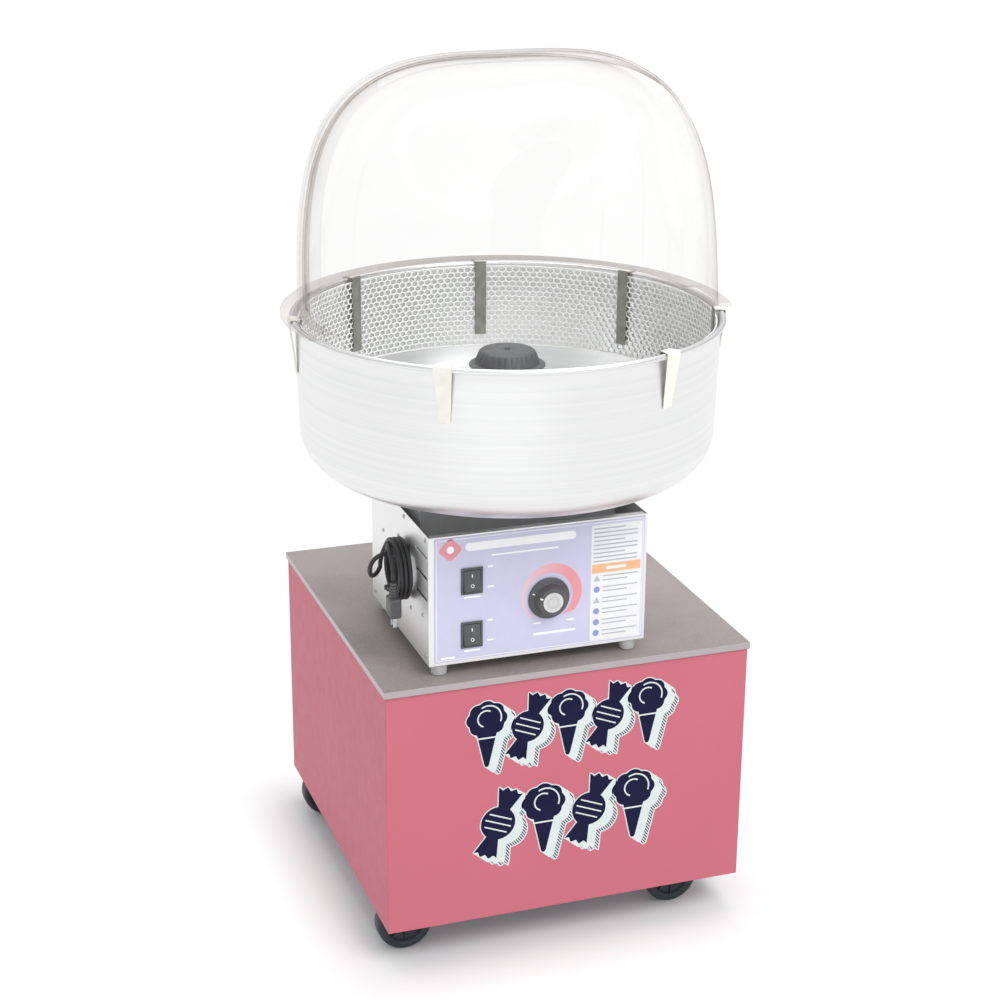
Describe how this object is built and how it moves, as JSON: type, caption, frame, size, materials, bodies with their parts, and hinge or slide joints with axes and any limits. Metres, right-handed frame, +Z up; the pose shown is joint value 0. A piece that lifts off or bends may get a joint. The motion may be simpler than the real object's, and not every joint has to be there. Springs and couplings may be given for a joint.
{
  "type": "cotton candy machine",
  "caption": "Cotton candy machine: spinning floss head in a round pan with net and half bubble, on a control cabinet that stands on a wheeled cart with a rear door.",
  "frame": {"origin": "centre of the bounding box on the floor", "axes": "+Z up, front panel faces -Y, +X to the right seen from the front"},
  "size_m": [0.69, 0.7982, 1.386],
  "materials": {
    "pink_paint": "gloss powder coat",
    "stainless": "brushed",
    "top_steel": "mottled dark stainless",
    "aluminium": "spun",
    "zinc": "zinc plated",
    "copper": "turned slip ring",
    "black_plastic": "satin",
    "black_enamel": "satin black",
    "rubber": "matt",
    "overlay": "printed film",
    "cream_plastic": "moulded",
    "clear_plastic": "clear acrylic"
  },
  "bodies": {
    "cart": {"cart_front_panel": "pink_paint", "cart_left_panel": "pink_paint", "cart_right_panel": "pink_paint", "cart_rear_frame": "pink_paint", "cart_floor": "zinc", "cart_top": "top_steel", "door_hinge_lower": "zinc", "door_hinge_upper": "zinc", "caster_plate_fl": "zinc", "caster_plate_fr": "zinc", "caster_plate_rl": "zinc", "caster_plate_rr": "zinc"},
    "rear_door": {"rear_door": "pink_paint", "door_handle": "zinc"},
    "machine": {"cabinet_front_panel": "stainless", "cabinet_left_panel": "stainless", "cabinet_right_panel": "stainless", "cabinet_rear_panel": "stainless", "cabinet_base": "stainless", "cabinet_deck": "stainless", "pan_support": "black_enamel", "motor": "black_enamel", "heat_control": "black_plastic", "control_overlay": "overlay", "power_switch_frame": "black_plastic", "heat_switch_frame": "black_plastic", "cord_gland": "black_plastic", "mains_cord": "rubber", "cord_coil": "rubber", "mains_plug": "rubber", "foot_fl": "rubber", "foot_fr": "rubber", "foot_rl": "rubber", "foot_rr": "rubber"},
    "floss_head": {"drive_shaft": "zinc", "slip_ring": "copper", "head_base": "aluminium", "heater_band": "zinc", "head_cap": "black_enamel"},
    "heat_knob": {"heat_knob": "black_plastic"},
    "power_rocker": {"power_switch_rocker": "black_plastic"},
    "heat_rocker": {"heat_switch_rocker": "black_plastic"},
    "pan": {"floss_pan": "aluminium", "floss_net": "cream_plastic", "net_clip_1": "cream_plastic", "net_clip_2": "cream_plastic", "net_clip_3": "cream_plastic", "net_clip_4": "cream_plastic", "net_clip_5": "cream_plastic", "net_clip_6": "cream_plastic", "net_clip_7": "cream_plastic"},
    "bubble": {"bubble": "clear_plastic"},
    "caster_fork_fl": {"caster_fork_fl": "zinc"},
    "caster_wheel_fl": {"caster_wheel_fl": "rubber"},
    "caster_fork_fr": {"caster_fork_fr": "zinc"},
    "caster_wheel_fr": {"caster_wheel_fr": "rubber"},
    "caster_fork_rl": {"caster_fork_rl": "zinc"},
    "caster_wheel_rl": {"caster_wheel_rl": "rubber"},
    "caster_fork_rr": {"caster_fork_rr": "zinc"},
    "caster_wheel_rr": {"caster_wheel_rr": "rubber"}
  },
  "joints": [
    {"name": "caster_swivel_fl", "type": "hinge", "parent": "cart", "child": "caster_fork_fl", "pos_m": [-0.1845, -0.17665, 0.1], "axis": [0, 0, 1], "continuous": true},
    {"name": "caster_roll_fl", "type": "hinge", "parent": "caster_fork_fl", "child": "caster_wheel_fl", "pos_m": [-0.2085, -0.17665, 0.0445], "axis": [0, 1, 0], "continuous": true},
    {"name": "caster_swivel_fr", "type": "hinge", "parent": "cart", "child": "caster_fork_fr", "pos_m": [0.2745, -0.17665, 0.1], "axis": [0, 0, 1], "continuous": true},
    {"name": "caster_roll_fr", "type": "hinge", "parent": "caster_fork_fr", "child": "caster_wheel_fr", "pos_m": [0.2505, -0.17665, 0.0445], "axis": [0, 1, 0], "continuous": true},
    {"name": "caster_swivel_rl", "type": "hinge", "parent": "cart", "child": "caster_fork_rl", "pos_m": [-0.1845, 0.29435, 0.1], "axis": [0, 0, 1], "continuous": true},
    {"name": "caster_roll_rl", "type": "hinge", "parent": "caster_fork_rl", "child": "caster_wheel_rl", "pos_m": [-0.2085, 0.29435, 0.0445], "axis": [0, 1, 0], "continuous": true},
    {"name": "caster_swivel_rr", "type": "hinge", "parent": "cart", "child": "caster_fork_rr", "pos_m": [0.2745, 0.29435, 0.1], "axis": [0, 0, 1], "continuous": true},
    {"name": "caster_roll_rr", "type": "hinge", "parent": "caster_fork_rr", "child": "caster_wheel_rr", "pos_m": [0.2505, 0.29435, 0.0445], "axis": [0, 1, 0], "continuous": true},
    {"name": "rear_door_hinge", "type": "hinge", "parent": "cart", "child": "rear_door", "pos_m": [0.3005, 0.36815, 0.275], "axis": [0, 0, -1], "range_deg": [0, 110]},
    {"name": "machine_lift", "type": "slide", "parent": "cart", "child": "machine", "axis": [0, 0, 1], "range_m": [0, 0.3]},
    {"name": "floss_head_spin", "type": "hinge", "parent": "machine", "child": "floss_head", "pos_m": [-0.002, -0.06915, 0.9], "axis": [0, 0, 1], "continuous": true},
    {"name": "heat_knob_turn", "type": "hinge", "parent": "machine", "child": "heat_knob", "pos_m": [0.013, -0.23915, 0.5875], "axis": [0, 1, 0], "range_deg": [0, 270]},
    {"name": "power_switch_tip", "type": "hinge", "parent": "machine", "child": "power_rocker", "pos_m": [-0.11, -0.22255, 0.631], "axis": [1, 0, 0], "range_deg": [0, 14]},
    {"name": "heat_switch_tip", "type": "hinge", "parent": "machine", "child": "heat_rocker", "pos_m": [-0.11, -0.22255, 0.544], "axis": [1, 0, 0], "range_deg": [0, 14]},
    {"name": "pan_lift", "type": "slide", "parent": "machine", "child": "pan", "axis": [0, 0, 1], "range_m": [0, 0.25]},
    {"name": "bubble_lift", "type": "slide", "parent": "pan", "child": "bubble", "axis": [0, 0, 1], "range_m": [0, 0.4]}
  ]
}
